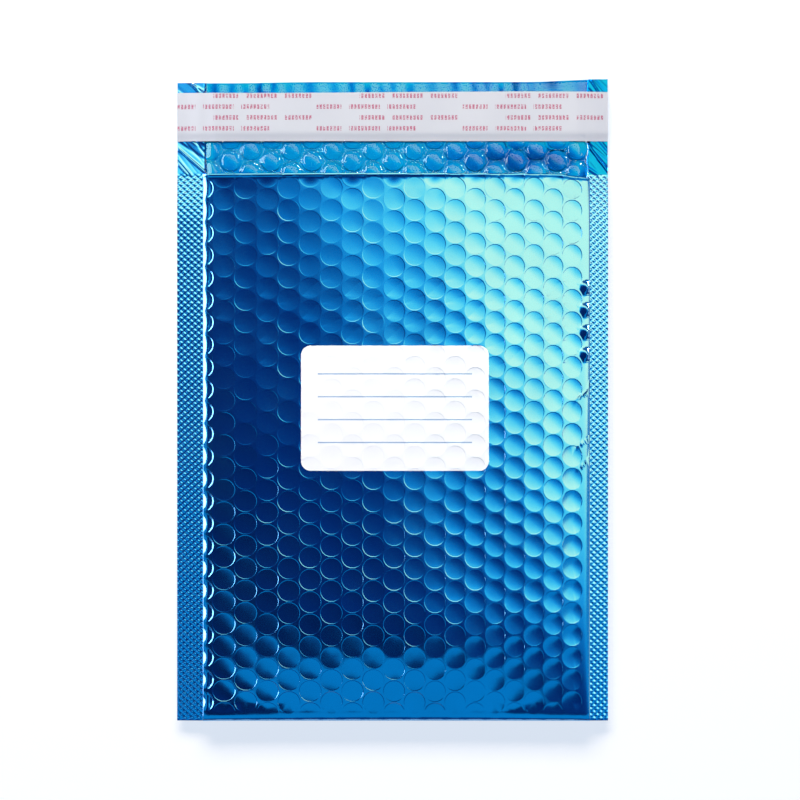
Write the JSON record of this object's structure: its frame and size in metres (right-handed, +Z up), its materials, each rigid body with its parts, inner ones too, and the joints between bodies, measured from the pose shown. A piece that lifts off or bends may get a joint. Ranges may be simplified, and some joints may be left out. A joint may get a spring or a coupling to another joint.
{
  "type": "padded envelope",
  "caption": "Padded envelope of dimpled metallic film lined with bubble film, with welded sides, an open mouth and a flap with a covered adhesive strip.",
  "frame": {"origin": "centre of the object's box, on the table that it lies on", "axes": "+Y from the bottom fold towards the flap's edge, +Z up out of the front panel, X across between the side seals"},
  "size_m": [0.18, 0.267, 0.0145],
  "materials": {
    "metallic_film": "metallised glossy blue film",
    "bubble_film": "clear glossy film",
    "adhesive": "tacky hot-melt film",
    "liner": "satin off-white film with rows of small red dashes"
  },
  "bodies": {
    "root": {"outer_film": "metallic_film", "bubble_lining": "bubble_film", "adhesive_strip": "adhesive", "release_liner": "liner"}
  },
  "joints": []
}
